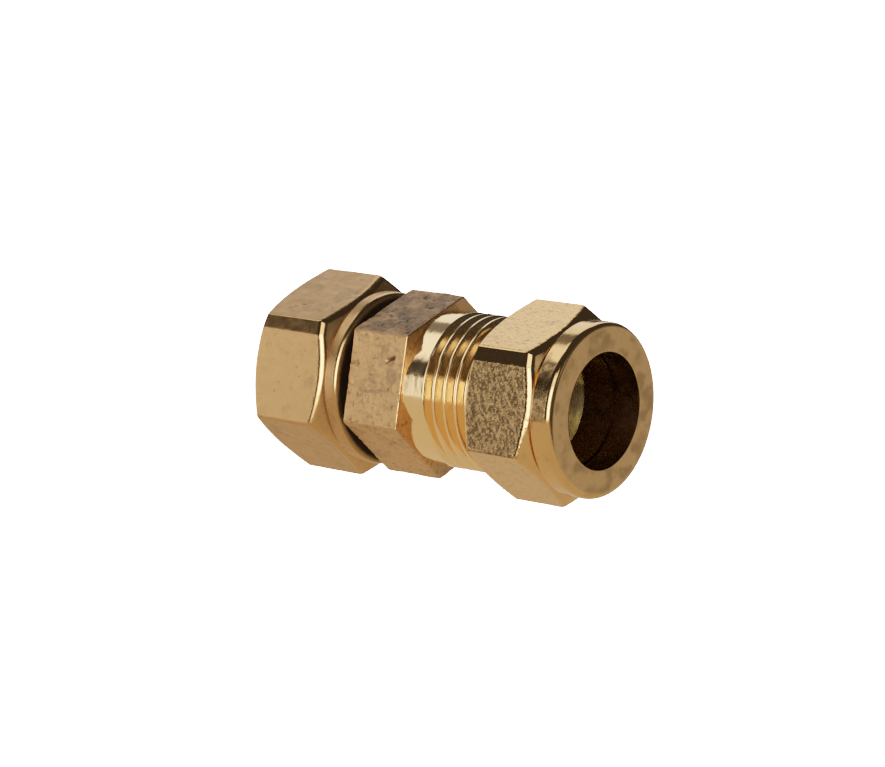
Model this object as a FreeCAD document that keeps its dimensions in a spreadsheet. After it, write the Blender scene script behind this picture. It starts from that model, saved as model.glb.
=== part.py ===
import FreeCAD, Part
import math
import os
import Sketcher

# Straight tap connector: a 15 mm compression end, and a G 1/2 swivel nut kept on a grooved tail.
# The common axis is X. The origin is the centre of the tube stop, in the plane of the body
# hexagon's compression side. +X points out of the compression end and +Z is up.

DIMENSIONS = {
    # G 1/2 pipe thread, 14 turns to the inch, 55 degree form
    "pitch": 1.8143,
    "thread_major_r": 10.4775,
    "thread_minor_r": 9.3155,
    "flank_deg": 27.5,
    "crest_flat": 0.302,
    "thread_play": 0.12,
    # body: hexagon, compression end
    "body_flats": 21.5,
    "body_hex_len": 9.2,
    "body_corner_fillet": 0.35,
    "land_len": 2.65,
    "socket_depth": 16.6,
    "socket_r": 7.575,
    "mouth_r": 9.0,
    "mouth_deg": 30.0,
    "mouth_lead_in": 1.1,
    "waterway_r": 6.25,
    # body: tail that carries the swivel nut
    "tail_len": 6.1,
    "tail_r": 8.0,
    "tail_lead_in": 0.5,
    "wire_r": 0.7,
    "wire_play": 0.05,
    "wire_centre_r": 8.15,
    "wire_x": -13.9,
    "wire_gap_deg": 16.0,
    # compression nut
    "nut_flats": 23.0,
    "nut_x": 11.31,
    "nut_len": 13.94,
    "nut_collar_len": 3.15,
    "nut_collar_r": 11.55,
    "nut_bore_r": 7.67,
    "nut_lip_len": 3.7,
    "nut_seat_deg": 35.0,
    "nut_seat_r": 9.2,
    "nut_relief_len": 1.8,
    "nut_relief_r": 10.65,
    "nut_end_r": 11.15,
    # compression ring
    "ring_x": 16.35,
    "ring_len": 4.7,
    "ring_bore_r": 7.6,
    "ring_end_r": 8.0,
    "ring_crown_r": 8.75,
    "ring_crown_len": 1.7,
    # swivel nut
    "swivel_flats": 24.0,
    "swivel_x": -25.25,
    "swivel_len": 14.93,
    "swivel_collar_len": 2.1,
    "swivel_collar_r": 11.8,
    "swivel_web_len": 2.58,
    "swivel_hole_r": 8.15,
    "swivel_relief_len": 4.6,
    "swivel_relief_r": 10.7,
    "swivel_end_r": 11.3,
    # both nuts
    "nut_clock_deg": -2.7,
    "collar_step": 0.76,
    "collar_fillet": 0.75,
    "corner_chamfer_deg": 30.0,
    "thread_mouth": 0.3,
    # sealing washer
    "washer_r": 9.2,
    "washer_hole_r": 6.4,
    "washer_len": 2.0,
}

# How far a cutting section reaches past the face it cuts, and a joined solid into its neighbour.
OVER = "1"
# Past the corners of every hexagon.
OUTSIDE_R = "16"
# How far a thread's groove is cut past the cylinder it opens through.
THREAD_OVER = "0.1"
# Turns from the male thread's first groove to the first groove of the nut: 3, and the half turn
# that sets the nut's grooves over the male thread's ridges.
NUT_THREAD_START = "3.5"
NUT_THREAD_TURNS = "4.8"
# The male thread's last groove fades out of the land over this share of a turn.
RUNOUT_TURNS = "0.55"
RUNOUT_DEG = 52
RUNOUT_DEPTH = "1.6"
# The wall of the swivel nut's thread is cut in quarters, so that its crest is made of short faces.
WALL_QUARTERS = 4

doc = FreeCAD.newDocument("straight_tap_connector")
sheet = doc.addObject("Spreadsheet::Sheet", "dims")
for row, (alias, number) in enumerate(DIMENSIONS.items(), start=1):
    sheet.set(f"A{row}", alias)
    sheet.set(f"B{row}", str(number))
    sheet.setAlias(f"B{row}", alias)
doc.recompute()


def new_body(name):
    """A sub-part; its Label names its STEP file."""
    body = doc.addObject("PartDesign::Body", name)
    body.Label = name
    body.Placement = FreeCAD.Placement()
    return body


def new_sketch(body, name, role):
    """An empty sketch on one of the body's own origin planes."""
    plane = [item for item in body.Origin.OriginFeatures if item.Role == role][0]
    sketch = body.newObject("Sketcher::SketchObject", name)
    sketch.AttachmentSupport = [(plane, "")]
    sketch.MapMode = "FlatFace"
    return sketch


def closed_polygon(sketch, points):
    """Straight lines through the points, joined end to end."""
    count = len(points)
    for k in range(count):
        sketch.addGeometry(Part.LineSegment(points[k], points[(k + 1) % count]), False)
    for k in range(count):
        sketch.addConstraint(Sketcher.Constraint("Coincident", k, 2, (k + 1) % count, 1))


def bind(sketch, constraint, expression):
    """Adds a dimension and ties it to the sheet."""
    index = sketch.addConstraint(constraint)
    sketch.setExpression(f"Constraints[{index}]", expression)


def half_section(body, name, corners):
    """A closed half-section in the XY plane. Each corner is two expressions of the sheet's
    cells: its place along the axis, and its radius."""
    sketch = new_sketch(body, name, "XY_Plane")
    count = len(corners)
    turn = 2 * math.pi / count
    start = [FreeCAD.Vector(5 * math.cos(k * turn), 9 + 5 * math.sin(k * turn), 0)
             for k in range(count)]
    closed_polygon(sketch, start)
    for k, (along, radius) in enumerate(corners):
        bind(sketch, Sketcher.Constraint("DistanceX", -1, 1, k, 1, start[k].x), along)
        bind(sketch, Sketcher.Constraint("DistanceY", -1, 1, k, 1, start[k].y), radius)
    return sketch


def volume_after(body):
    doc.recompute()
    return body.Shape.Volume


def revolve(body, name, corners):
    """Adds a turned solid."""
    feature = body.newObject("PartDesign::Revolution", name)
    feature.Profile = half_section(body, name + "_section", corners)
    feature.ReferenceAxis = (feature.Profile[0], ["H_Axis"])
    feature.Angle = 360
    doc.recompute()
    return feature


def turn_away(body, name, corners, angle=360):
    """Cuts a turned shape out of the body, and makes sure that it took material away."""
    before = volume_after(body)
    feature = body.newObject("PartDesign::Groove", name)
    feature.Profile = half_section(body, name + "_section", corners)
    feature.ReferenceAxis = (feature.Profile[0], ["H_Axis"])
    feature.Angle = angle
    if volume_after(body) >= before:
        raise RuntimeError(name + " removed nothing")
    return feature


def hexagon_bar(body, name, flats, low, length, clock="0"):
    """Adds a hexagonal bar along the axis, with one flat facing -Y when clock is 0."""
    sketch = new_sketch(body, name + "_section", "YZ_Plane")
    reach = 10.0
    corners = [FreeCAD.Vector(reach * math.sin(k * math.pi / 3), reach * math.cos(k * math.pi / 3), 0)
               for k in range(6)]
    closed_polygon(sketch, corners)
    circle = sketch.addGeometry(Part.Circle(FreeCAD.Vector(), FreeCAD.Vector(0, 0, 1), reach), True)
    sketch.addConstraint(Sketcher.Constraint("Coincident", circle, 3, -1, 1))
    for k in range(6):
        sketch.addConstraint(Sketcher.Constraint("PointOnObject", k, 1, circle))
    for k in range(1, 6):
        sketch.addConstraint(Sketcher.Constraint("Equal", 0, k))
    bind(sketch, Sketcher.Constraint("Radius", circle, reach), f"{flats} / sqrt(3)")
    first = math.atan2(corners[1].y - corners[0].y, corners[1].x - corners[0].x)
    bind(sketch, Sketcher.Constraint("Angle", 0, first), f"-30 deg - {clock} * 1 deg")
    sketch.setExpression("AttachmentOffset.Base.z", low)
    pad = body.newObject("PartDesign::Pad", name)
    pad.Profile = sketch
    pad.setExpression("Length", length)
    doc.recompute()
    return pad


def fillet(body, name, radius, picks):
    """Rounds the edges of the body for which picks is true."""
    base = body.Tip
    edges = [f"Edge{k}" for k, edge in enumerate(base.Shape.Edges, start=1) if picks(edge)]
    feature = body.newObject("PartDesign::Fillet", name)
    feature.Base = (base, edges)
    feature.setExpression("Radius", radius)
    doc.recompute()
    return feature


def is_circle(edge, along, radius):
    """True for a circular edge round the axis at this place and radius."""
    curve = edge.Curve
    if curve.TypeId != "Part::GeomCircle":
        return False
    return abs(curve.Radius - radius) < 1e-3 and abs(curve.Center.x - along) < 1e-3


def is_axial(edge):
    """True for a straight edge that runs along X."""
    if edge.Curve.TypeId != "Part::GeomLine":
        return False
    return abs(abs(edge.Curve.Direction.x) - 1) < 1e-6


def cut_thread(body, name, middle, root, crest, flat, height, runout_deg=0):
    """Cuts a right-hand helical groove. flat is its width at root, where it is narrowest; it opens
    to crest, on either side of the root, and middle is its place along the axis at angle 0. With
    runout_deg it runs the other way along the axis, on a cone that rises at that angle."""
    before = volume_after(body)
    opening = f"({flat} / 2 + abs(({crest}) - ({root})) * tan(dims.flank_deg * 1 deg))"
    corners = [
        (f"{middle} - {flat} / 2", root),
        (f"{middle} + {flat} / 2", root),
        (f"{middle} + {opening}", crest),
        (f"{middle} - {opening}", crest),
    ]
    section = half_section(body, name + "_section", corners)
    helix = body.newObject("PartDesign::SubtractiveHelix", name)
    helix.Profile = section
    helix.ReferenceAxis = (section, ["H_Axis"])
    helix.Mode = 0
    helix.setExpression("Pitch", "dims.pitch")
    helix.setExpression("Height", height)
    helix.Angle = runout_deg
    helix.LeftHanded = False
    helix.Reversed = runout_deg != 0
    helix.Refine = False
    if volume_after(body) >= before:
        raise RuntimeError(name + " removed nothing")
    return helix


def chamfer_corners(body, name, face, inner_r, outward):
    """Cuts a hexagon's corners back to a cone. The cone meets the plane at face with radius
    inner_r and falls away from it; outward is +1 where the face looks along +X, or -1."""
    fall = f"({OUTSIDE_R} - {inner_r}) * tan(dims.corner_chamfer_deg * 1 deg)"
    turn_away(body, name, [
        (face, inner_r),
        (f"{face} - {outward} * {fall}", OUTSIDE_R),
        (f"{face} + {outward} * {OVER}", OUTSIDE_R),
        (f"{face} + {outward} * {OVER}", inner_r),
    ])


def collar_and_rim(body, face, length, radius, rim_x, rim_r):
    """Adds the round collar at a nut's closed end, and rounds its outer edge. The collar starts
    from inside the hexagon, so that the hexagon's chamfer stays clear of it."""
    step = f"({face} - {length})"
    inside = f"{radius} - {OVER}"
    revolve(body, "collar", [
        (f"{step} - {OVER}", "0"),
        (f"{step} - {OVER}", inside),
        (step, inside),
        (step, radius),
        (face, radius),
        (face, "0"),
    ])
    fillet(body, "rim", "dims.collar_fillet", lambda edge: is_circle(edge, rim_x, rim_r))


# Centre of the male thread's first groove at angle 0: its edge is where the plain land ends.
GROOVE_DEPTH = "(dims.thread_major_r - dims.thread_minor_r)"
MALE_GROOVE = (f"(dims.land_len + dims.crest_flat / 2 + {GROOVE_DEPTH}"
               " * tan(dims.flank_deg * 1 deg))")


def make_body():
    body = new_body("body")
    hexagon_bar(body, "hexagon", "dims.body_flats", "-dims.body_hex_len", "dims.body_hex_len")
    fillet(body, "forged_corners", "dims.body_corner_fillet", is_axial)
    revolve(body, "compression_stem", [
        (f"-{OVER}", "0"),
        (f"-{OVER}", "dims.thread_major_r"),
        ("dims.socket_depth - dims.mouth_lead_in", "dims.thread_major_r"),
        ("dims.socket_depth", "dims.thread_major_r - dims.mouth_lead_in"),
        ("dims.socket_depth", "0"),
    ])
    tail_end = "(-dims.body_hex_len - dims.tail_len)"
    revolve(body, "tail", [
        (f"-dims.body_hex_len + {OVER}", "0"),
        (f"-dims.body_hex_len + {OVER}", "dims.tail_r"),
        (f"{tail_end} + dims.tail_lead_in", "dims.tail_r"),
        (tail_end, "dims.tail_r - dims.tail_lead_in / 2"),
        (tail_end, "0"),
    ])
    mouth_len = "(dims.mouth_r - dims.socket_r) / tan(dims.mouth_deg * 1 deg)"
    turn_away(body, "passage", [
        (f"{tail_end} - {OVER}", "0"),
        (f"{tail_end} - {OVER}", "dims.waterway_r"),
        ("0", "dims.waterway_r"),
        ("0", "dims.socket_r"),
        (f"dims.socket_depth - {mouth_len}", "dims.socket_r"),
        ("dims.socket_depth", "dims.mouth_r"),
        (f"dims.socket_depth + {OVER}", "dims.mouth_r"),
        (f"dims.socket_depth + {OVER}", "0"),
    ])
    wire_groove(body)
    cut_thread(body, "compression_thread", MALE_GROOVE, "dims.thread_minor_r",
               f"dims.thread_major_r + {THREAD_OVER}", "dims.crest_flat", "dims.socket_depth")
    cut_thread(body, "thread_runout", MALE_GROOVE, "dims.thread_minor_r",
               f"dims.thread_minor_r + {RUNOUT_DEPTH}", "dims.crest_flat",
               f"dims.pitch * {RUNOUT_TURNS}", RUNOUT_DEG)
    return body


def wire_groove(body):
    """Round-bottomed groove in the tail, a little larger than the wire of the retaining ring."""
    before = volume_after(body)
    sketch = wire_section(body, "wire_groove_section", "dims.wire_r + dims.wire_play")
    groove = body.newObject("PartDesign::Groove", "wire_groove")
    groove.Profile = sketch
    groove.ReferenceAxis = (sketch, ["H_Axis"])
    groove.Angle = 360
    if volume_after(body) >= before:
        raise RuntimeError("wire_groove removed nothing")


def wire_section(body, name, radius):
    """The wire's round section in the XY plane."""
    sketch = new_sketch(body, name, "XY_Plane")
    circle = sketch.addGeometry(Part.Circle(FreeCAD.Vector(-5, 5, 0), FreeCAD.Vector(0, 0, 1), 1), False)
    bind(sketch, Sketcher.Constraint("Radius", circle, 1), radius)
    bind(sketch, Sketcher.Constraint("DistanceX", -1, 1, circle, 3, -5), "dims.wire_x")
    bind(sketch, Sketcher.Constraint("DistanceY", -1, 1, circle, 3, 5), "dims.wire_centre_r")
    return sketch


def make_retaining_ring():
    """Split ring of round wire, free to turn in the tail's groove."""
    body = new_body("retaining_ring")
    sketch = wire_section(body, "wire_section", "dims.wire_r")
    feature = body.newObject("PartDesign::Revolution", "split_ring")
    feature.Profile = sketch
    feature.ReferenceAxis = (sketch, ["H_Axis"])
    feature.setExpression("Angle", "360 - dims.wire_gap_deg")
    return body


def make_compression_nut():
    body = new_body("compression_nut")
    face = "(dims.nut_x + dims.nut_len)"
    collar = f"({face} - dims.nut_collar_len)"
    seat = f"({face} - dims.nut_lip_len)"
    seat_end = f"({seat} - (dims.nut_seat_r - dims.nut_bore_r) / tan(dims.nut_seat_deg * 1 deg))"
    minor = "(dims.thread_minor_r + dims.thread_play)"
    hexagon_bar(body, "hexagon", "dims.nut_flats", "dims.nut_x",
                "dims.nut_len - dims.nut_collar_len", "dims.nut_clock_deg")
    chamfer_corners(body, "back_chamfer", "dims.nut_x", "dims.nut_end_r", "-1")
    chamfer_corners(body, "collar_chamfer", collar, "(dims.nut_collar_r - dims.collar_step)", "1")
    collar_and_rim(body, face, "dims.nut_collar_len", "dims.nut_collar_r",
                   sheet.nut_x + sheet.nut_len, sheet.nut_collar_r)
    turn_away(body, "bore", [
        (f"dims.nut_x - {OVER}", "0"),
        (f"dims.nut_x - {OVER}", "dims.thread_major_r + dims.thread_mouth"),
        ("dims.nut_x", "dims.thread_major_r + dims.thread_mouth"),
        (f"dims.nut_x + dims.thread_major_r + dims.thread_mouth - {minor}", minor),
        (f"{seat_end} - dims.nut_relief_len", minor),
        (f"{seat_end} - dims.nut_relief_len", "dims.nut_relief_r"),
        (seat_end, "dims.nut_relief_r"),
        (seat_end, "dims.nut_seat_r"),
        (seat, "dims.nut_bore_r"),
        (f"{face} + {OVER}", "dims.nut_bore_r"),
        (f"{face} + {OVER}", "0"),
    ])
    cut_thread(body, "thread", f"({MALE_GROOVE} + {NUT_THREAD_START} * dims.pitch)",
               "dims.thread_major_r + dims.thread_play", f"{minor} - {THREAD_OVER}",
               "(dims.crest_flat + dims.thread_play)", f"{NUT_THREAD_TURNS} * dims.pitch")
    return body


def make_compression_ring():
    """The olive: a plain bore, a crown in the middle and a taper to each end."""
    body = new_body("compression_ring")
    taper = "(dims.ring_len - dims.ring_crown_len) / 2"
    revolve(body, "ring", [
        ("dims.ring_x", "dims.ring_bore_r"),
        ("dims.ring_x", "dims.ring_end_r"),
        (f"dims.ring_x + {taper}", "dims.ring_crown_r"),
        (f"dims.ring_x + dims.ring_len - {taper}", "dims.ring_crown_r"),
        ("dims.ring_x + dims.ring_len", "dims.ring_end_r"),
        ("dims.ring_x + dims.ring_len", "dims.ring_bore_r"),
    ])
    return body


def make_swivel_nut():
    body = new_body("swivel_nut")
    face = "(dims.swivel_x + dims.swivel_len)"
    collar = f"({face} - dims.swivel_collar_len)"
    web = f"({face} - dims.swivel_web_len)"
    hexagon_bar(body, "hexagon", "dims.swivel_flats", "dims.swivel_x",
                "dims.swivel_len - dims.swivel_collar_len", "dims.nut_clock_deg")
    chamfer_corners(body, "end_chamfer", "dims.swivel_x", "dims.swivel_end_r", "-1")
    chamfer_corners(body, "collar_chamfer", collar, "(dims.swivel_collar_r - dims.collar_step)", "1")
    collar_and_rim(body, face, "dims.swivel_collar_len", "dims.swivel_collar_r",
                   sheet.swivel_x + sheet.swivel_len, sheet.swivel_collar_r)
    mouth_r = "dims.thread_major_r + dims.thread_mouth"
    quarter = turn_away(body, "bore_quarter", [
        (f"dims.swivel_x - {OVER}", "0"),
        (f"dims.swivel_x - {OVER}", mouth_r),
        ("dims.swivel_x", mouth_r),
        (f"dims.swivel_x + {mouth_r} - dims.thread_minor_r", "dims.thread_minor_r"),
        (f"{web} - dims.swivel_relief_len", "dims.thread_minor_r"),
        (f"{web} - dims.swivel_relief_len", "dims.swivel_relief_r"),
        (web, "dims.swivel_relief_r"),
        (web, "dims.swivel_hole_r"),
        (f"{face} + {OVER}", "dims.swivel_hole_r"),
        (f"{face} + {OVER}", "0"),
    ], 360 / WALL_QUARTERS)
    bore = body.newObject("PartDesign::PolarPattern", "bore")
    bore.Originals = [quarter]
    bore.Axis = (quarter.Profile[0], ["H_Axis"])
    bore.Angle = 360
    bore.Occurrences = WALL_QUARTERS
    bore.Refine = False
    body.Tip = bore
    cut_thread(body, "thread", f"(dims.swivel_x - {OVER})", "dims.thread_major_r",
               f"dims.thread_minor_r - {THREAD_OVER}", "dims.crest_flat",
               f"{web} - dims.swivel_x - dims.swivel_relief_len + dims.pitch")
    return body


def make_sealing_washer():
    """Flat fibre washer against the end of the tail."""
    body = new_body("sealing_washer")
    tail_end = "(-dims.body_hex_len - dims.tail_len)"
    revolve(body, "washer", [
        (f"{tail_end} - dims.washer_len", "dims.washer_hole_r"),
        (f"{tail_end} - dims.washer_len", "dims.washer_r"),
        (tail_end, "dims.washer_r"),
        (tail_end, "dims.washer_hole_r"),
    ])
    return body


sub_parts = [
    make_body(),
    make_compression_nut(),
    make_compression_ring(),
    make_swivel_nut(),
    make_retaining_ring(),
    make_sealing_washer(),
]
doc.recompute()

for item in doc.Objects:
    if "Invalid" in item.State or "Error" in item.State:
        raise RuntimeError(f"{item.Name} failed: {item.State}")
for part in sub_parts:
    if part.Shape.isNull() or not part.Shape.isValid() or len(part.Shape.Solids) != 1:
        raise RuntimeError(f"{part.Label} has no single valid solid")

os.makedirs("parts", exist_ok=True)
for part in sub_parts:
    part.Shape.exportStep(f"parts/{part.Label}.step")
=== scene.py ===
import math

import bmesh
import bpy
import numpy as np
from mathutils import Matrix, Vector


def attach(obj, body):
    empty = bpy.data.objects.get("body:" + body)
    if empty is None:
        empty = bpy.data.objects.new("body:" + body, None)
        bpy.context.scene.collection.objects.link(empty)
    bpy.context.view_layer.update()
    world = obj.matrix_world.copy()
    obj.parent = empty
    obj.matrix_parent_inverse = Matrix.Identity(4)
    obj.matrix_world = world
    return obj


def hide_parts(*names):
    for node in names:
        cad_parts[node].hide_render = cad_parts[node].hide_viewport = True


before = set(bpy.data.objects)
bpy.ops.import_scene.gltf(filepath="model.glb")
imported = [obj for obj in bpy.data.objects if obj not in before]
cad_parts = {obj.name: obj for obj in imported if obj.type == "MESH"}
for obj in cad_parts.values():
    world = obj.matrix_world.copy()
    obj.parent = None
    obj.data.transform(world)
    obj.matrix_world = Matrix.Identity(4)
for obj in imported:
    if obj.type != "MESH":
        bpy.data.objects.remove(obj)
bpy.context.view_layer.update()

# Lengths below are millimetres; meshes are made in metres.
MM = 0.001
TAN30 = math.tan(math.radians(30))

# Thread, as in the CAD source
PITCH = 1.8143
THREAD_MAJOR = 10.4775
THREAD_MINOR = 9.3155
CREST_HALF = 0.151
FLANK_WIDTH = (THREAD_MAJOR - THREAD_MINOR) * math.tan(math.radians(27.5))
LAND_LEN = 2.65
STEM_LEN = 16.6
MOUTH_LEAD_IN = 1.1

# How far both nuts are turned from the body's hexagon, as in the CAD source
NUT_CLOCK = math.radians(-2.7)

# The narrow flat trimmed along two corners of each nut
TRIM_WIDTH = 1.65
TRIM_TILT = math.radians(13)

# How the film turns brightness into tone, and a backdrop bright enough to come out white
FILM_SPEED = 1.6
FILM_WHITE = 4.0
BACKDROP = 6.0
# Points on the film's curve, and the power that sets them closer together at its dark end
FILM_POINTS = 14
FILM_SPACING = 2.2

# The body's hexagon and tail, as in the CAD source
BODY_FLATS = 21.5
BODY_CORNER = 0.35
BODY_BACK = -9.2
TAIL_R = 8.0
# Radii a little inside and outside the tube's socket and its mouth
SOCKET_WALL = (7.5, 9.05)
# The radius at which both nuts' threads open into their back faces, and their closed ends' places
NUT_MOUTH_R = 10.7775
NUT_FACE = 25.25
SWIVEL_FACE = -10.32
# How far short of such a size a CAD vertex may be and still count as being on it
SLACK = 0.001

# Columns on each side of a hexagon and round each of its corners
PER_FLAT = 88
PER_CORNER = 8

# The zones of a nut's outside, from the back face round to the bore of its closed end
BACK_FACE, BACK_CHAMFER, FLATS, FRONT_CHAMFER, COLLAR, END_FACE, BORE = range(7)
# The zones of the body's hexagon
HEX_BACK, HEX_SIDE, HEX_FRONT = range(3)

# The nick in the body's front flat: its middle, half length, half width and depth
NICK_AT = np.array([-2.3, -10.75, 2.9])
NICK_LENGTH = 0.75
NICK_WIDTH = 0.20
NICK_DEPTH = 0.35

# The thread on the stem: enough turns to run past the mouth, the share of a turn its last groove
# fades over, the columns round it and the rows on the plain land
TURNS_MADE = 9
RUNOUT_TURNS = 0.15
STEM_COLUMNS = 321
LAND_ROWS = 6

# Which way the tumbling marks lean, and how they are drawn out along that line
MARK_LEAN = math.radians(-38)
MARK_STRETCH = (1.0, 0.7, 0.42)

# A CAD edge sharper than this stays a hard edge
HARD_EDGE = math.radians(22)

# The floor's half width and its height
FLOOR_HALF = 150
FLOOR_LOW = -50

# The photo's camera, fitted to the object's outlines
CAMERA_AZIMUTH = 38.681
CAMERA_ELEVATION = 1.789
CAMERA_ROLL = 7.340
CAMERA_AIM = Vector((0, -2.204, 0.439))
CAMERA_DISTANCE = 388.79
CAMERA_LENS = 118.709
CAMERA_SENSOR = 36

# Odd numbers that scramble a cell's place
HASH_X = 374761393
HASH_Y = 668265263
HASH_Z = 1440662683
HASH_SEED = 974634777
HASH_MIX = 1274126177


# ---------------------------------------------------------------- noise

def hashed(cells, seed):
    """A number from -1 to 1 for each integer cell."""
    h = cells[..., 0] * HASH_X + cells[..., 1] * HASH_Y + cells[..., 2] * HASH_Z + seed * HASH_SEED
    h = (h ^ (h >> 13)) & 0xFFFFFFFF
    h = (h * HASH_MIX) & 0xFFFFFFFF
    h = h ^ (h >> 16)
    return h / 0x7FFFFFFF - 1.0


def value_noise(points, seed):
    """Smooth noise from -1 to 1 with cells one unit wide."""
    base = np.floor(points).astype(np.int64)
    part = points - base
    part = part * part * (3 - 2 * part)
    total = np.zeros(points.shape[:-1])
    for corner in np.ndindex(2, 2, 2):
        weight = np.ones(points.shape[:-1])
        for axis in range(3):
            side = part[..., axis]
            weight = weight * (side if corner[axis] else 1 - side)
        total += weight * hashed(base + np.array(corner), seed)
    return total


def fractal(points, cell, octaves, seed, gain=0.5):
    """Cloudy noise: layers of smooth noise, the first with cells of the size given."""
    total = np.zeros(points.shape[:-1])
    size, scale = 1.0, 1.0 / cell
    for k in range(octaves):
        total += size * value_noise(points * scale, seed + 17 * k)
        size *= gain
        scale *= 2.03
    return total


def ridged(points, cell, octaves, seed):
    """Sharp-crested noise, like wrinkles."""
    total = np.zeros(points.shape[:-1])
    size, scale = 1.0, 1.0 / cell
    for k in range(octaves):
        total += size * (1 - 2 * np.abs(value_noise(points * scale, seed + 31 * k)))
        size *= 0.5
        scale *= 2.1
    return total


def smooth(low, high, value):
    """Rises smoothly from 0 at low to 1 at high, or falls where low is above high."""
    t = np.clip((value - low) / (high - low), 0, 1)
    return t * t * (3 - 2 * t)


# ---------------------------------------------------------------- sections

def hexagon_angles(flats, rounding, clock):
    """Angles round a hexagon with rounded corners, closer together at the corners.
    Angle 0 faces -Y and a quarter turn faces +Z."""
    half = flats / 2
    tangent = math.atan((half - rounding) * TAN30 / half)
    flat = np.linspace(-tangent, tangent, PER_FLAT)
    corner = np.linspace(tangent, math.pi / 3 - tangent, PER_CORNER + 2)[1:-1]
    one = np.concatenate([flat, corner])
    return np.concatenate([one + k * math.pi / 3 for k in range(6)]) + clock


def hexagon_radius(angles, flats, rounding, clock):
    """Radius of a hexagon with rounded corners."""
    half = flats / 2
    local = (angles - clock + math.pi / 6) % (math.pi / 3) - math.pi / 6
    tangent = math.atan((half - rounding) * TAN30 / half)
    off = math.pi / 6 - np.abs(local)
    centre = (half - rounding) / math.cos(math.pi / 6)
    arc = centre * np.cos(off) + np.sqrt(np.maximum(rounding ** 2 - (centre * np.sin(off)) ** 2, 0))
    return np.where(np.abs(local) <= tangent, half / np.cos(local), arc)


def trimmed_radius(radius, angles, flats, clock, width, tilt):
    """Cuts two opposite corners off along a narrow flat, and says which columns are on it. The
    flat starts width before the corner and leans away from the side by tilt."""
    half = flats / 2
    start = half * TAN30 - width
    strip = np.zeros(len(angles))
    for side in (0, math.pi):
        local = (angles - clock - side + math.pi) % (2 * math.pi) - math.pi
        # beyond 1.2 radians the cut is far outside the hexagon
        lean = np.clip(local - tilt, -1.2, 1.2)
        cut = (half * math.cos(tilt) + start * math.sin(tilt)) / np.cos(lean)
        inside = (cut < radius - 1e-4) & (np.abs(local - math.pi / 6) < math.pi / 6)
        radius = np.where(inside, cut, radius)
        strip = np.where(inside, 1.0, strip)
    return radius, strip


def rows_through(corners, rounds, steps, arc_steps=4):
    """Rows of points along a profile. corners are (x, r, tag), where x and r are one number or one
    per column; rounds says how far from each corner its rounding starts, and steps how many rows
    lie between two corners. Gives each row's x and r per column, its tag, and how worn it is: 1 in
    a rounding, 0.35 at either end of it and 0 elsewhere."""
    columns = max(np.size(c[1]) for c in corners)
    spots = [np.stack([np.broadcast_to(c[0], columns), np.broadcast_to(c[1], columns)]).astype(float)
             for c in corners]
    rows, tags, wear = [spots[0]], [corners[0][2]], [0.0]
    exits = [None] * len(spots)
    exits[0] = spots[0]
    for k in range(1, len(spots)):
        ahead = spots[k] - spots[k - 1]
        reach = np.hypot(*ahead)
        if k < len(spots) - 1:
            beyond = spots[k + 1] - spots[k]
            beyond_reach = np.hypot(*beyond)
            cut = np.minimum(rounds[k], 0.85 * np.minimum(reach, beyond_reach))
            enter = spots[k] - ahead / np.maximum(reach, 1e-9) * cut
            leave = spots[k] + beyond / np.maximum(beyond_reach, 1e-9) * cut
        else:
            enter = leave = spots[k]
        start = exits[k - 1]
        for s in range(1, steps[k - 1] + 1):
            t = s / (steps[k - 1] + 1)
            rows.append(start + (enter - start) * t)
            tags.append(corners[k - 1][2])
            wear.append(0.0)
        rows.append(enter)
        tags.append(corners[k - 1][2])
        wear.append(0.35)
        if k < len(spots) - 1:
            for s in range(1, arc_steps + 1):
                t = s / (arc_steps + 1)
                rows.append((1 - t) ** 2 * enter + 2 * t * (1 - t) * spots[k] + t * t * leave)
                tags.append(corners[k - 1][2] if t < 0.5 else corners[k][2])
                wear.append(1.0)
            rows.append(leave)
            tags.append(corners[k][2])
            wear.append(0.35)
        exits[k] = leave
    rows = np.array(rows)
    return rows[:, 0], rows[:, 1], np.array(tags, float), np.array(wear)


# ---------------------------------------------------------------- meshes

def ring_points(x, r, angles):
    """Points round the axis. Angle 0 faces -Y and a quarter turn faces +Z."""
    return np.stack([x, -r * np.cos(angles), r * np.sin(angles)], -1)


def grid_normals(points):
    """Unit normals of a grid that closes along its second axis."""
    along = np.gradient(points, axis=0)
    around = np.roll(points, -1, 1) - np.roll(points, 1, 1)
    normal = np.cross(along, around)
    return normal / np.maximum(np.linalg.norm(normal, axis=-1, keepdims=True), 1e-12)


def mesh_piece(name, points, attributes=None, closed=True):
    """A mesh piece from a grid of points in millimetres, seen from outside."""
    count, columns = points.shape[:2]
    strips = columns if closed else columns - 1
    i, j = np.meshgrid(np.arange(count - 1), np.arange(strips), indexing="ij")
    n = (j + 1) % columns
    faces = np.stack([i * columns + j, (i + 1) * columns + j, (i + 1) * columns + n, i * columns + n], -1)
    mesh = bpy.data.meshes.new(name)
    mesh.from_pydata((points.reshape(-1, 3) * MM).tolist(), [], faces.reshape(-1, 4).tolist())
    for label, values in (attributes or {}).items():
        layer = mesh.attributes.new(label, "FLOAT", "POINT")
        spread = np.broadcast_to(values, (count, columns)).astype(np.float32)
        layer.data.foreach_set("value", spread.ravel())
    mesh.polygons.foreach_set("use_smooth", np.ones(len(mesh.polygons), bool))
    mesh.update()
    piece = bpy.data.objects.new(name, mesh)
    bpy.context.scene.collection.objects.link(piece)
    return piece


def finish_piece(piece, node, material):
    """Gives a piece its material, and sets it to move with a CAD node and stand for it."""
    piece.data.materials.clear()
    piece.data.materials.append(material)
    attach(piece, node)
    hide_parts(node)


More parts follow.
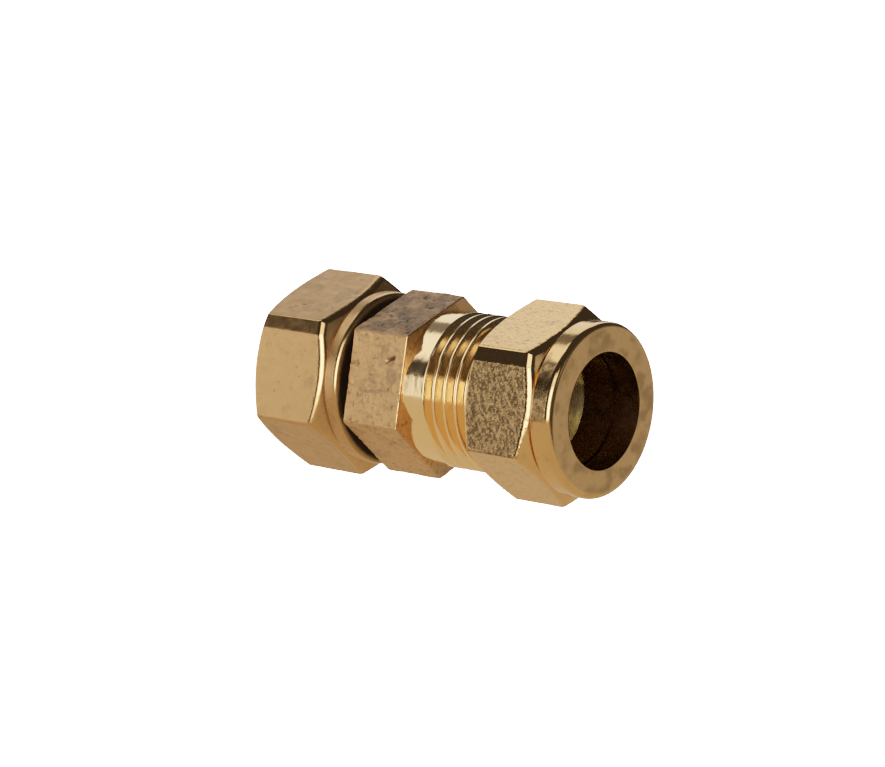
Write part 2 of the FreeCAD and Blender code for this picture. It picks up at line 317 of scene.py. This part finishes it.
def copied_piece(name, node, keep):
    """The faces of a CAD node for which keep is true, as a new piece with its hard edges kept."""
    tool = bmesh.new()
    tool.from_mesh(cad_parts[node].data)
    bmesh.ops.remove_doubles(tool, verts=tool.verts, dist=1e-7)
    drop = [f for f in tool.faces if not keep(np.array([v.co for v in f.verts]) / MM)]
    bmesh.ops.delete(tool, geom=drop, context="FACES")
    for face in tool.faces:
        face.smooth = True
    for edge in tool.edges:
        if len(edge.link_faces) == 2 and edge.calc_face_angle(0) > HARD_EDGE:
            edge.smooth = False
    mesh = bpy.data.meshes.new(name)
    tool.to_mesh(mesh)
    tool.free()
    piece = bpy.data.objects.new(name, mesh)
    bpy.context.scene.collection.objects.link(piece)
    return piece


def radii(corners):
    """Distance of each corner of a face from the axis."""
    return np.hypot(corners[:, 1], corners[:, 2])


# ---------------------------------------------------------------- materials

class Nodes:
    """A short way to build one node material."""

    def __init__(self, name):
        self.material = bpy.data.materials.new(name)
        self.material.use_nodes = True
        self.tree = self.material.node_tree
        self.tree.nodes.clear()
        out = self.tree.nodes.new("ShaderNodeOutputMaterial")
        self.shader = self.tree.nodes.new("ShaderNodeBsdfPrincipled")
        self.tree.links.new(self.shader.outputs["BSDF"], out.inputs["Surface"])
        coords = self.tree.nodes.new("ShaderNodeTexCoord")
        scale = self.tree.nodes.new("ShaderNodeVectorMath")
        scale.operation = "SCALE"
        scale.inputs["Scale"].default_value = 1 / MM
        self.tree.links.new(coords.outputs["Object"], scale.inputs[0])
        self.place = scale.outputs[0]

    def put(self, socket, value):
        """Links a socket to an output, or sets its value."""
        if isinstance(value, bpy.types.NodeSocket):
            self.tree.links.new(value, socket)
        elif isinstance(value, (tuple, list)) and len(value) == 3 and socket.type == "RGBA":
            socket.default_value = (*value, 1)
        else:
            socket.default_value = value

    def stretched(self, factors, at=None):
        """A place with each axis scaled. A small factor draws a texture out along its axis."""
        node = self.tree.nodes.new("ShaderNodeVectorMath")
        node.operation = "MULTIPLY"
        self.put(node.inputs[0], at or self.place)
        node.inputs[1].default_value = factors
        return node.outputs[0]

    def noise(self, scale, detail=3.0, rough=0.55, distort=0.0, at=None, seed=0.0):
        node = self.tree.nodes.new("ShaderNodeTexNoise")
        node.noise_dimensions = "4D"
        self.put(node.inputs["Vector"], at or self.place)
        node.inputs["W"].default_value = seed
        node.inputs["Scale"].default_value = scale
        node.inputs["Detail"].default_value = detail
        node.inputs["Roughness"].default_value = rough
        node.inputs["Distortion"].default_value = distort
        return node.outputs["Fac"]

    def band(self, value, low, high, to_low=0.0, to_high=1.0):
        """Takes low to to_low and high to to_high, smoothly, and stays there beyond them."""
        node = self.tree.nodes.new("ShaderNodeMapRange")
        node.interpolation_type = "SMOOTHSTEP"
        for key, number in (("Value", value), ("From Min", low), ("From Max", high),
                            ("To Min", to_low), ("To Max", to_high)):
            self.put(node.inputs[key], number)
        return node.outputs["Result"]

    def maths(self, operation, a, b=0.0):
        node = self.tree.nodes.new("ShaderNodeMath")
        node.operation = operation
        self.put(node.inputs[0], a)
        self.put(node.inputs[1], b)
        return node.outputs[0]

    def mix(self, factor, a, b):
        node = self.tree.nodes.new("ShaderNodeMix")
        node.data_type = "RGBA"
        self.put(node.inputs["Factor"], factor)
        self.put([s for s in node.inputs if s.name == "A" and s.type == "RGBA"][0], a)
        self.put([s for s in node.inputs if s.name == "B" and s.type == "RGBA"][0], b)
        return [s for s in node.outputs if s.type == "RGBA"][0]

    def attribute(self, name):
        node = self.tree.nodes.new("ShaderNodeAttribute")
        node.attribute_name = name
        return node.outputs["Fac"]

    def bump(self, height, distance, under=None):
        """The normal of a height texture this many millimetres deep."""
        node = self.tree.nodes.new("ShaderNodeBump")
        self.put(node.inputs["Height"], height)
        node.inputs["Distance"].default_value = distance * MM
        node.inputs["Strength"].default_value = 1.0
        if under is not None:
            self.put(node.inputs["Normal"], under)
        return node.outputs["Normal"]

    def done(self, colour, roughness, metallic, normal=None):
        """Connects the shader and gives the material."""
        self.put(self.shader.inputs["Base Color"], colour)
        self.put(self.shader.inputs["Roughness"], roughness)
        self.put(self.shader.inputs["Metallic"], metallic)
        if normal is not None:
            self.put(self.shader.inputs["Normal"], normal)
        return self.material


def brass(name, clean, tarnish, dirt, cover, rough, grain, slant=0.0, seed=0.0):
    """Brass that goes from clean to tarnished in clouds, with dirt in its hollows, painted shade and
    painted dark reflections in the dirt's colour where a piece marks them, and cleaner worn edges. cover
    is how much of it is tarnished, rough its lowest and highest roughness, grain the depth of its fine
    texture and slant the depth of slanted tumbling marks, both in millimetres."""
    n = Nodes(name)
    clouds = n.noise(0.22, 4, 0.6, 0.6, seed=seed)
    patches = n.noise(1.1, 5, 0.65, 0.3, seed=seed + 3)
    fine = n.noise(5.5, 4, 0.6, seed=seed + 5)
    both = n.maths("ADD", n.maths("MULTIPLY", clouds, 0.6), n.maths("MULTIPLY", patches, 0.4))
    strip = n.attribute("strip")
    open_side = n.maths("SUBTRACT", 1.0, strip)
    tarnished = n.band(both, 0.60 - 0.25 * cover, 0.75 - 0.30 * cover)
    colour = n.mix(tarnished, clean, tarnish)
    marks = n.maths("MULTIPLY", n.band(fine, 0.58, 0.72), n.maths("MULTIPLY", open_side, 0.30))
    colour = n.mix(marks, colour, dirt)
    # this attribute holds real dirt in pits and wrinkles, and also painted shade and painted dark
    # reflections
    dirt_and_painted_shade = n.attribute("dirt_and_painted_shade")
    colour = n.mix(dirt_and_painted_shade, colour, dirt)
    edge = n.attribute("wear")
    colour = n.mix(n.maths("MULTIPLY", edge, 0.6), colour, clean)
    roughness = n.band(n.noise(0.9, 4, 0.6, seed=seed + 9), 0.3, 0.7, rough[0], rough[1])
    roughness = n.maths("ADD", roughness, n.maths("MULTIPLY", dirt_and_painted_shade, 0.15))
    for smoother, share in ((strip, 0.45), (edge, 0.55)):
        left = n.maths("SUBTRACT", 1.0, n.maths("MULTIPLY", smoother, share))
        roughness = n.maths("MULTIPLY", roughness, left)
    roughness = n.maths("ADD", roughness, n.maths("MULTIPLY", n.attribute("face"), 0.16))
    # the narrow trimmed flats keep only a fifth of the texture
    open_height = n.maths("ADD", n.maths("MULTIPLY", open_side, 0.8), 0.2)
    height = n.maths("MULTIPLY", n.noise(6.0, 4, 0.6, seed=seed + 11), open_height)
    normal = n.bump(height, grain)
    if slant:
        turned = n.tree.nodes.new("ShaderNodeVectorRotate")
        turned.rotation_type = "AXIS_ANGLE"
        turned.inputs["Axis"].default_value = (0, 1, 0)
        turned.inputs["Angle"].default_value = MARK_LEAN
        n.put(turned.inputs["Vector"], n.place)
        drawn_out = n.stretched(MARK_STRETCH, turned.outputs[0])
        marks = n.noise(3.0, 2, 0.6, 0.4, at=drawn_out, seed=seed + 14)
        normal = n.bump(n.maths("MULTIPLY", marks, n.attribute("grain")), slant, under=normal)
    return n.done(colour, roughness, 1.0, normal)


nut_brass = brass("nut_brass_look", clean=(0.70, 0.42, 0.175), tarnish=(0.52, 0.32, 0.14),
                  dirt=(0.10, 0.06, 0.025), cover=0.25, rough=(0.10, 0.16), grain=0.006, slant=0.030)
thread_brass = brass("cut_thread_look", clean=(0.93, 0.64, 0.33), tarnish=(0.86, 0.54, 0.24),
                     dirt=(0.34, 0.20, 0.09), cover=0.1, rough=(0.10, 0.17), grain=0.002, seed=4)
forged_brass = brass("forged_brass_look", clean=(0.58, 0.335, 0.145), tarnish=(0.38, 0.225, 0.11),
                     dirt=(0.07, 0.045, 0.028), cover=0.40, rough=(0.34, 0.46), grain=0.020, seed=8)
worn_brass = brass("worn_brass_look", clean=(0.56, 0.32, 0.13), tarnish=(0.43, 0.25, 0.11),
                   dirt=(0.05, 0.03, 0.017), cover=0.35, rough=(0.32, 0.44), grain=0.006, seed=12)
# the bores and the olive inside the nut are painted dark brown as painted shade
painted_shade_bore_brass = brass("bore_painted_shade_look", clean=(0.17, 0.085, 0.04), tarnish=(0.13, 0.065, 0.03),
                   dirt=(0.09, 0.045, 0.02), cover=0.5, rough=(0.26, 0.36), grain=0.002, seed=16)
painted_shade_olive_brass = brass("olive_painted_shade_look", clean=(0.20, 0.11, 0.05), tarnish=(0.16, 0.085, 0.04),
                    dirt=(0.10, 0.055, 0.03), cover=0.3, rough=(0.24, 0.34), grain=0.002, seed=20)


def socket_painted_reflection_look():
    """Turned bore painted bright gold as a painted reflection, with a darker band part of the way round
    painted as a dark streak in that reflection. It is only partly metallic, so that its painted gold shows
    in a bore that reflects little."""
    n = Nodes("socket_painted_reflection_look")
    apart = n.tree.nodes.new("ShaderNodeSeparateXYZ")
    n.put(apart.inputs[0], n.place)
    height = apart.outputs["Z"]
    blur = n.maths("MULTIPLY", n.noise(0.8, 3, seed=30), 1.2)
    level = n.maths("ADD", height, blur)
    # painted dark reflection: a band at these heights, dark across the painted gold
    painted_dark_reflection = n.maths("MULTIPLY", n.band(level, -1.6, 0.6), n.band(level, 3.9, 3.0))
    # painted reflection: bright gold, darkened in the band
    colour = n.mix(painted_dark_reflection, (1.0, 0.72, 0.20), (0.30, 0.19, 0.06))
    rings = n.noise(1.4, 3, 0.6, at=n.stretched((6.0, 0.05, 0.05)), seed=31)
    return n.done(colour, n.band(rings, 0.3, 0.7, 0.22, 0.34), 0.3, n.bump(rings, 0.002))


def wire_look():
    """Streaked steel wire."""
    n = Nodes("spring_wire_look")
    streak = n.noise(2.2, 4, 0.6, at=n.stretched((1.0, 0.25, 0.25)), seed=24)
    colour = n.mix(n.band(streak, 0.4, 0.7), (0.60, 0.58, 0.55), (0.34, 0.31, 0.28))
    return n.done(colour, n.band(streak, 0.3, 0.7, 0.24, 0.42), 1.0, n.bump(n.noise(9.0), 0.004))


def fibre_look():
    """Pressed red fibre."""
    n = Nodes("fibre_look")
    fibres = n.noise(3.5, 5, 0.7, 1.2, at=n.stretched((1.0, 0.5, 1.6)), seed=28)
    colour = n.mix(n.band(fibres, 0.35, 0.7), (0.36, 0.055, 0.035), (0.16, 0.030, 0.022))
    return n.done(colour, n.band(fibres, 0.3, 0.7, 0.7, 0.9), 0.0, n.bump(fibres, 0.03))


# ---------------------------------------------------------------- nuts

def nut_skin(name, flats, ends, collar, bores, end_r, collar_r, foot, rounding, edge, rim, shade, texture):
    """The outside of a nut, from its back face round to its closed end's face. ends and bores are
    the places of the back face and the closed end's face and the radii of the holes in them. collar
    is where the hexagon stops and the collar begins, end_r and foot the radii the two chamfers start
    from, rounding the radius of the hexagon's corners, and edge and rim how far from the front
    chamfer's edge and the collar's rim their rounding starts. shade is how much painted shade
    darkens the closed end's face, which faces a narrow gap."""
    back, face = ends
    angles = hexagon_angles(flats, rounding, NUT_CLOCK)
    rh = hexagon_radius(angles, flats, rounding, NUT_CLOCK)
    rh, strip = trimmed_radius(rh, angles, flats, NUT_CLOCK, TRIM_WIDTH, TRIM_TILT)
    corners = [
        (back, bores[0], BACK_FACE),
        (back, end_r, BACK_CHAMFER),
        (back + (rh - end_r) * TAN30, rh, FLATS),
        (collar - (rh - foot) * TAN30, rh, FRONT_CHAMFER),
        (collar, foot, FRONT_CHAMFER),
        (collar, collar_r, COLLAR),
        (face, collar_r, END_FACE),
        (face, bores[1], BORE),
        (face - 0.4, bores[1], BORE),
    ]
    rounds = [0, 0.10, 0.18, edge, 0.02, 0.14, rim, 0.15, 0]
    x, r, tags, wear = rows_through(corners, rounds, [2, 6, 54, 12, 0, 12, 14, 1], 6)
    points = ring_points(x, r, angles)
    normals = grid_normals(points)
    strip = strip * (tags == FLATS)[:, None]
    dirt_and_painted_shade, height = texture(points, tags[:, None], strip)
    # the closed end's face, and the first rows at the back, stay true
    fade = np.ones(len(tags))
    fade[:2] = 0
    fade[tags >= END_FACE] = 0
    moved = points + normals * (height * fade[:, None])[..., None]
    grain = (tags == FLATS)[:, None] * (1 - strip)
    on_face = (tags == END_FACE)[:, None]
    # painted shade on the closed end's face, which faces a narrow gap
    dirt_and_painted_shade = np.maximum(dirt_and_painted_shade, shade * on_face)
    return mesh_piece(name, moved, {"wear": wear[:, None], "dirt_and_painted_shade": np.clip(dirt_and_painted_shade, 0, 1),
                                    "grain": grain, "strip": strip, "face": on_face.astype(float)})


def nut_texture(points, tags, strip):
    """A tumbled nut: how dirty each point is, with painted dark reflections added, from 0 to 1, and its
    height in millimetres. The flats have fine slanted dimples, and the rest is smoother."""
    flat = (tags == FLATS) * (1 - strip)
    slanted = points.copy()
    slanted[..., 0] = points[..., 0] * 1.3 + points[..., 2] * 0.75
    slanted[..., 2] = points[..., 2] * 0.75 - points[..., 0] * 0.35
    dimple = fractal(slanted, 0.42, 2, 101, 0.6)
    swell = fractal(points, 4.0, 2, 102)
    height = (0.0015 + 0.0105 * flat) * dimple + 0.010 * swell * (1 - 0.7 * strip)
    # painted dark reflection, mottled, in the middle of the collar's side, and clouds of duller tone on
    # the closed end's face
    bearing = np.degrees(np.arctan2(points[..., 2], -points[..., 1]) - NUT_CLOCK)
    wavering = bearing + 9 * fractal(points, 1.6, 3, 103)
    film = smooth(-9, -2, wavering) * smooth(37, 27, wavering) * (tags == COLLAR)
    film = film * (0.55 + 0.42 * smooth(-0.5, 0.5, fractal(points, 0.45, 3, 104)))
    clouds = 0.42 * smooth(-0.5, 0.9, fractal(points, 1.5, 4, 105)) * (tags >= END_FACE)
    # the front flat is painted dark as a dark reflection, broken by short slanted brighter ticks painted
    # as glints
    front = (np.abs(bearing) < 31) * flat
    ticks = fractal(slanted * np.array([1.0, 1.0, 0.55]), 0.21, 3, 106, 0.7)
    painted_dark_reflection = front * (0.46 + 0.52 * smooth(-0.30, 0.20, ticks))
    return np.maximum(film, clouds) + 0.25 * smooth(0.25, 0.9, -dimple) * flat + painted_dark_reflection, height


def worn_texture(points, tags, strip):
    """A worn nut: its dirt and its height, as above. It is smoother, with a few pits."""
    flat = (tags == FLATS) * (1 - strip)
    dimple = fractal(points, 1.1, 3, 201, 0.55)
    swell = fractal(points, 3.2, 2, 202)
    pits = smooth(0.70, 0.97, value_noise(points / 0.6, 203))
    height = (0.003 + 0.007 * flat) * dimple + 0.016 * swell * (1 - 0.7 * strip) - 0.04 * pits * flat
    return 0.5 * pits * flat, height


def inside_of(face):
    """Says which faces of a nut its outside skin doesn't stand for. face is the closed end's place."""
    def keep(corners):
        outside = (radii(corners) > NUT_MOUTH_R - SLACK).all()
        on_end = (corners[:, 0] > face - SLACK).all()
        return not outside and not on_end
    return keep


nut = nut_skin("compression_nut_outside", flats=23.0, ends=(11.31, NUT_FACE), collar=22.10,
               bores=(NUT_MOUTH_R, 7.67), end_r=11.15, collar_r=11.55, foot=10.79, rounding=0.22,
               edge=0.85, rim=1.0, shade=0.0, texture=nut_texture)
finish_piece(nut, "compression_nut", nut_brass)
nut_inside = copied_piece("compression_nut_inside", "compression_nut", inside_of(NUT_FACE))
finish_piece(nut_inside, "compression_nut", painted_shade_bore_brass)

# the swivel nut's closed end's face gets full painted shade, facing the narrow gap to the body
swivel = nut_skin("swivel_nut_outside", flats=24.0, ends=(-25.25, SWIVEL_FACE), collar=-12.42,
                  bores=(NUT_MOUTH_R, 8.15), end_r=11.3, collar_r=11.8, foot=11.04, rounding=0.60,
                  edge=0.80, rim=0.76, shade=1.0, texture=worn_texture)
finish_piece(swivel, "swivel_nut", worn_brass)
swivel_inside = copied_piece("swivel_nut_inside", "swivel_nut", inside_of(SWIVEL_FACE))
finish_piece(swivel_inside, "swivel_nut", painted_shade_bore_brass)


# ---------------------------------------------------------------- body

def body_hexagon():
    """The rough forged hexagon: wrinkled and pitted, with a nick in its front flat."""
    angles = hexagon_angles(BODY_FLATS, BODY_CORNER, 0.0)
    rh = hexagon_radius(angles, BODY_FLATS, BODY_CORNER, 0.0)
    corners = [(BODY_BACK, TAIL_R, HEX_BACK), (BODY_BACK, rh, HEX_SIDE), (0.0, rh, HEX_FRONT),
               (0.0, THREAD_MAJOR - 0.1, HEX_FRONT)]
    x, r, tags, wear = rows_through(corners, [0, 0.22, 0.22, 0], [10, 84, 6], 4)
    points = ring_points(x, r, angles)
    normals = grid_normals(points)
    bent = points + 0.35 * fractal(points, 1.6, 2, 301)[..., None]
    wrinkle = ridged(bent * np.array([0.8, 1.0, 1.0]), 0.80, 3, 302)
    swell = fractal(points, 3.2, 2, 303)
    pits = smooth(0.55, 0.95, value_noise(bent / 0.5, 304))
    height = (0.040 + 0.012 * swell) * wrinkle + 0.030 * swell - 0.07 * pits
    gap = points - NICK_AT
    along = gap[..., 0] * 0.9 + gap[..., 2] * 0.45
    across = gap[..., 2] * 0.9 - gap[..., 0] * 0.45
    nick = np.exp(-(along / NICK_LENGTH) ** 4 - (across / NICK_WIDTH) ** 2) * (points[..., 1] < -9)
    height = height - NICK_DEPTH * nick
    side = (tags == HEX_SIDE)[:, None] | (wear[:, None] > 0.5)
    height = np.where(side, height, 0.3 * height)
    fade = np.ones(len(tags))
    fade[tags == HEX_BACK] = 0
    fade[-1] = 0
    moved = points + normals * (height * fade[:, None])[..., None]
    dirt_and_painted_shade = 0.5 * pits + nick + 0.50 * smooth(0.0, 0.8, -wrinkle)
    # the back face is painted dark as shade from the narrow gap behind it, and the upper front flat has a
    # brown film with black specks
    dirt_and_painted_shade = np.maximum(dirt_and_painted_shade, 0.9 * (tags == HEX_BACK)[:, None])
    on_top = smooth(0.48, 0.53, angles / (math.pi / 3)) * smooth(1.52, 1.47, angles / (math.pi / 3))
    patch = smooth(-0.5, 0.7, fractal(points, 1.8, 3, 305))
    specks = smooth(0.55, 0.8, value_noise(points / 0.45, 306))
    dirt_and_painted_shade = dirt_and_painted_shade + on_top * side * (0.35 + 0.30 * patch + 0.5 * specks)
    return mesh_piece("body_hexagon", moved, {"wear": 0.4 * wear[:, None],
                                              "dirt_and_painted_shade": np.clip(dirt_and_painted_shade, 0, 1)})


def thread_turn():
    """Rows of one turn of the thread: offset from the groove's centre, and radius."""
    half = PITCH / 2
    edge = CREST_HALF + FLANK_WIDTH
    corners = [(-half, THREAD_MAJOR, 0), (-edge, THREAD_MAJOR, 0), (-CREST_HALF, THREAD_MINOR, 0),
               (CREST_HALF, THREAD_MINOR, 0), (edge, THREAD_MAJOR, 0), (half, THREAD_MAJOR, 0)]
    x, r, _, wear = rows_through(corners, [0, 0.06, 0.06, 0.06, 0.06, 0], [0, 4, 0, 4, 0], 2)
    keep = np.concatenate([[True], np.abs(np.diff(x[:, 0])) > 1e-6])
    return x[keep, 0], r[keep, 0], wear[keep]


def body_stem():
    """The plain land, the thread with its run-out, and the lead-in at the mouth. The thread's rows
    run past the mouth; what lies beyond it is taken off at the end."""
    turn = np.linspace(0, 2 * math.pi, STEM_COLUMNS)
    offset, radius, wear = thread_turn()
    first = LAND_LEN + CREST_HALF + FLANK_WIDTH
    rows_x, rows_r, rows_wear = [], [], []
    for n in range(-1, TURNS_MADE):
        for k in range(len(offset) - (0 if n == TURNS_MADE - 1 else 1)):
            at_turn = n + turn / (2 * math.pi)
            depth = np.clip(1 + at_turn / RUNOUT_TURNS, 0, 1)
            rows_x.append(first + PITCH * at_turn + offset[k])
            rows_r.append(THREAD_MAJOR - depth * (THREAD_MAJOR - radius[k]))
            rows_wear.append(wear[k] if radius[k] > THREAD_MAJOR - 0.2 else 0.0)
    land_end = first + PITCH * (turn / (2 * math.pi) - 1) + offset[0]
    for k in range(LAND_ROWS):
        rows_x.insert(k, land_end * k / LAND_ROWS)
        rows_r.insert(k, np.full(STEM_COLUMNS, THREAD_MAJOR))
        rows_wear.insert(k, 0.0)
    x, r = np.array(rows_x), np.array(rows_r)
    tip = STEM_LEN - MOUTH_LEAD_IN
    x = np.minimum(x, STEM_LEN)
    r = np.minimum(r, THREAD_MAJOR - np.maximum(x - tip, 0))
    points = np.stack([x, r * np.cos(turn), r * np.sin(turn)], -1)[:, ::-1]
    normals = grid_normals(points[:, :-1])
    normals = np.concatenate([normals, normals[:, :1]], 1)
    height = 0.004 * fractal(points * np.array([3.0, 1.0, 1.0]), 1.2, 2, 401)
    flat = points[..., 0] < LAND_LEN
    height = height + np.where(flat, 0.006 * fractal(points, 0.5, 2, 402), 0)
    height[:, 0] = height[:, -1] = 0
    points = points + normals * height[..., None]
    piece = mesh_piece("body_thread", points, {"wear": np.array(rows_wear)[:, None]}, closed=False)
    tool = bmesh.new()
    tool.from_mesh(piece.data)
    limit = (STEM_LEN - 0.01) * MM
    past = [f for f in tool.faces if all(v.co.x > limit for v in f.verts)]
    bmesh.ops.delete(tool, geom=past, context="FACES")
    bmesh.ops.remove_doubles(tool, verts=tool.verts, dist=1e-6)
    tool.to_mesh(piece.data)
    tool.free()
    return piece


def is_body_core(corners):
    """What neither the hexagon's skin nor the stem's stands for: tail, waterway, socket, mouth."""
    r = radii(corners)
    x = corners[:, 0]
    if (x > BODY_BACK - SLACK).all() and (x < SLACK).all() and (r > TAIL_R - SLACK).all():
        return False
    return not ((x > -SLACK).all() and (r > THREAD_MINOR - 0.01).all())


def is_socket(corners):
    """The machined bore the tube slides into, and its mouth."""
    r = radii(corners)
    low, high = SOCKET_WALL
    return (corners[:, 0] > -0.01).all() and (r > low).all() and (r < high).all()


hexagon = body_hexagon()
finish_piece(hexagon, "body", forged_brass)
stem = body_stem()
finish_piece(stem, "body", thread_brass)
core = copied_piece("body_core", "body", lambda c: is_body_core(c) and not is_socket(c))
finish_piece(core, "body", painted_shade_bore_brass)
socket = copied_piece("body_socket", "body", lambda c: is_body_core(c) and is_socket(c))
finish_piece(socket, "body", socket_painted_reflection_look())

for node, slot, material in (("compression_ring", "soft_brass", painted_shade_olive_brass),
                             ("retaining_ring", "spring_wire", wire_look()),
                             ("sealing_washer", "fibre", fibre_look())):
    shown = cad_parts[node]
    shown.data.materials.clear()
    shown.data.materials.append(material)


# ---------------------------------------------------------------- stage, light and camera

def direction(azimuth, elevation):
    """Unit vector: azimuth 0 is -Y and 90 is +X."""
    a, e = math.radians(azimuth), math.radians(elevation)
    return Vector((math.sin(a) * math.cos(e), -math.cos(a) * math.cos(e), math.sin(e)))


def make_floor():
    """A floor the camera sees as plain backdrop, and that lights the object warmly from below."""
    side = np.linspace(-FLOOR_HALF, FLOOR_HALF, 33)
    px, py = np.meshgrid(side, side, indexing="ij")
    points = np.stack([px, py, np.full_like(px, FLOOR_LOW)], -1)
    floor = mesh_piece("floor", points, closed=False)
    n = Nodes("floor_look")
    n.done((0.80, 0.68, 0.50), 0.9, 0.0)
    n.shader.inputs["Emission Color"].default_value = (1.0, 0.78, 0.50, 1)
    n.shader.inputs["Emission Strength"].default_value = 0.26
    camera_only = n.tree.nodes.new("ShaderNodeLightPath").outputs["Is Camera Ray"]
    glow = n.tree.nodes.new("ShaderNodeEmission")
    glow.inputs["Color"].default_value = (1, 1, 1, 1)
    glow.inputs["Strength"].default_value = BACKDROP
    blend = n.tree.nodes.new("ShaderNodeMixShader")
    out = [node for node in n.tree.nodes if node.type == "OUTPUT_MATERIAL"][0]
    n.tree.links.new(camera_only, blend.inputs[0])
    n.tree.links.new(n.shader.outputs[0], blend.inputs[1])
    n.tree.links.new(glow.outputs[0], blend.inputs[2])
    n.tree.links.new(blend.outputs[0], out.inputs["Surface"])
    floor.data.materials.append(n.material)


make_floor()


class Room:
    """The studio round the object: soft-edged lit areas on a dim background, by direction."""

    def __init__(self):
        world = bpy.data.worlds.new("studio")
        bpy.context.scene.world = world
        world.use_nodes = True
        self.tree = world.node_tree
        self.tree.nodes.clear()
        coords = self.tree.nodes.new("ShaderNodeTexCoord")
        apart = self.tree.nodes.new("ShaderNodeSeparateXYZ")
        self.tree.links.new(coords.outputs["Generated"], apart.inputs[0])
        x, y, z = apart.outputs
        turn = self.maths("ARCTAN2", x, self.maths("MULTIPLY", y, -1.0))
        self.azimuth = self.maths("MULTIPLY", turn, 180 / math.pi)
        self.elevation = self.maths("MULTIPLY", self.maths("ARCSINE", z), 180 / math.pi)
        self.light = None

    def maths(self, operation, a, b=0.0):
        """One step of arithmetic on outputs or numbers."""
        node = self.tree.nodes.new("ShaderNodeMath")
        node.operation = operation
        for socket, value in ((node.inputs[0], a), (node.inputs[1], b)):
            if isinstance(value, bpy.types.NodeSocket):
                self.tree.links.new(value, socket)
            else:
                socket.default_value = value
        return node.outputs[0]

    def inside(self, value, low, high, soft):
        """1 between low and high, falling to 0 outside over soft either side of each."""
        node = self.tree.nodes.new("ShaderNodeMapRange")
        node.interpolation_type = "SMOOTHSTEP"
        self.tree.links.new(value, node.inputs["Value"])
        node.inputs["From Min"].default_value = low - soft
        node.inputs["From Max"].default_value = low + soft
        fall = self.tree.nodes.new("ShaderNodeMapRange")
        fall.interpolation_type = "SMOOTHSTEP"
        self.tree.links.new(value, fall.inputs["Value"])
        fall.inputs["From Min"].default_value = high - soft
        fall.inputs["From Max"].default_value = high + soft
        fall.inputs["To Min"].default_value = 1
        fall.inputs["To Max"].default_value = 0
        return self.maths("MULTIPLY", node.outputs["Result"], fall.outputs["Result"])

    def add(self, azimuths, elevations, soft, strength, tint=(1, 1, 1)):
        """A lit area between two azimuths and two elevations, in degrees."""
        middle = sum(azimuths) / 2
        turned = self.maths("WRAP", self.azimuth, middle + 180)
        turned.node.inputs[2].default_value = middle - 180
        amount = self.maths("MULTIPLY", self.inside(turned, *azimuths, soft),
                            self.inside(self.elevation, *elevations, soft))
        scaled = self.tree.nodes.new("ShaderNodeVectorMath")
        scaled.operation = "SCALE"
        scaled.inputs[0].default_value = [c * strength for c in tint]
        self.tree.links.new(amount, scaled.inputs["Scale"])
        if self.light is None:
            self.light = scaled.outputs[0]
        else:
            total = self.tree.nodes.new("ShaderNodeVectorMath")
            total.operation = "ADD"
            self.tree.links.new(self.light, total.inputs[0])
            self.tree.links.new(scaled.outputs[0], total.inputs[1])
            self.light = total.outputs[0]

    def finish(self, backdrop):
        """Show the camera an even backdrop, and everything else the lit room."""
        out = self.tree.nodes.new("ShaderNodeOutputWorld")
        mix = self.tree.nodes.new("ShaderNodeMixShader")
        path = self.tree.nodes.new("ShaderNodeLightPath")
        room = self.tree.nodes.new("ShaderNodeBackground")
        self.tree.links.new(self.light, room.inputs["Color"])
        seen = self.tree.nodes.new("ShaderNodeBackground")
        seen.inputs["Color"].default_value = (1, 1, 1, 1)
        seen.inputs["Strength"].default_value = backdrop
        self.tree.links.new(path.outputs["Is Camera Ray"], mix.inputs[0])
        self.tree.links.new(room.outputs[0], mix.inputs[1])
        self.tree.links.new(seen.outputs[0], mix.inputs[2])
        self.tree.links.new(mix.outputs[0], out.inputs["Surface"])


room = Room()
# the dim room all round
room.add((-180, 180), (-95, 95), 1, 0.035, (1.0, 0.94, 0.88))
# the left softbox, with a corner that reaches further round below
room.add((-95, -38.4), (-27, 8), 0.6, 1.15)
room.add((-38.4, -33), (-28, -15), 0.8, 1.1)
# a narrow strip light between it and the front softbox
room.add((-32.6, -29.6), (-30, 12), 0.5, 3.4)
# the front softbox and its hot middle
room.add((-4, 47), (-30, 36), 3, 1.9)
room.add((4, 36), (-16, 18), 5, 3.6)
# two raised panels from the left round to the back, and the dim gap between them
room.add((-165, -112), (27, 64), 2.5, 1.05)
room.add((-82, -44), (27, 64), 2.5, 1.25)
room.add((-112, -82), (27, 64), 2.5, 0.12)
# a small reflector on the right, and fill from behind
room.add((86, 97), (13, 26), 2, 0.5, (1.0, 0.97, 0.90))
room.add((115, 215), (-24, 20), 5, 0.36, (1.0, 0.92, 0.80))
room.finish(BACKDROP)

camera_data = bpy.data.cameras.new("camera")
camera_data.lens = CAMERA_LENS
camera_data.sensor_width = CAMERA_SENSOR
camera_data.clip_start = 0.01
camera_data.clip_end = 20
camera = bpy.data.objects.new("camera", camera_data)
bpy.context.scene.collection.objects.link(camera)
back = direction(CAMERA_AZIMUTH, CAMERA_ELEVATION)
camera.location = (CAMERA_AIM + back * CAMERA_DISTANCE) * MM
level = (-back).to_track_quat("-Z", "Y").to_matrix()
roll = Matrix.Rotation(math.radians(CAMERA_ROLL), 3, back)
camera.rotation_mode = "QUATERNION"
camera.rotation_quaternion = (roll @ level).to_quaternion()
bpy.context.scene.camera = camera

view_settings = bpy.context.scene.view_settings
view_settings.view_transform = "Standard"
view_settings.look = "None"
# a film's gentle shoulder: bright reflections lose colour before they clip
view_settings.use_curve_mapping = True
film = view_settings.curve_mapping
film.use_clip = True
film.clip_max_x = 1.0
film.white_level = (FILM_WHITE, FILM_WHITE, FILM_WHITE)
# curve 3 works on all three colours at once
shoulder = film.curves[3]
for k in range(1, FILM_POINTS):
    at = (k / FILM_POINTS) ** FILM_SPACING
    shoulder.points.new(at, 1 - math.exp(-FILM_SPEED * at * FILM_WHITE))
film.update()

bpy.context.view_layer.update()
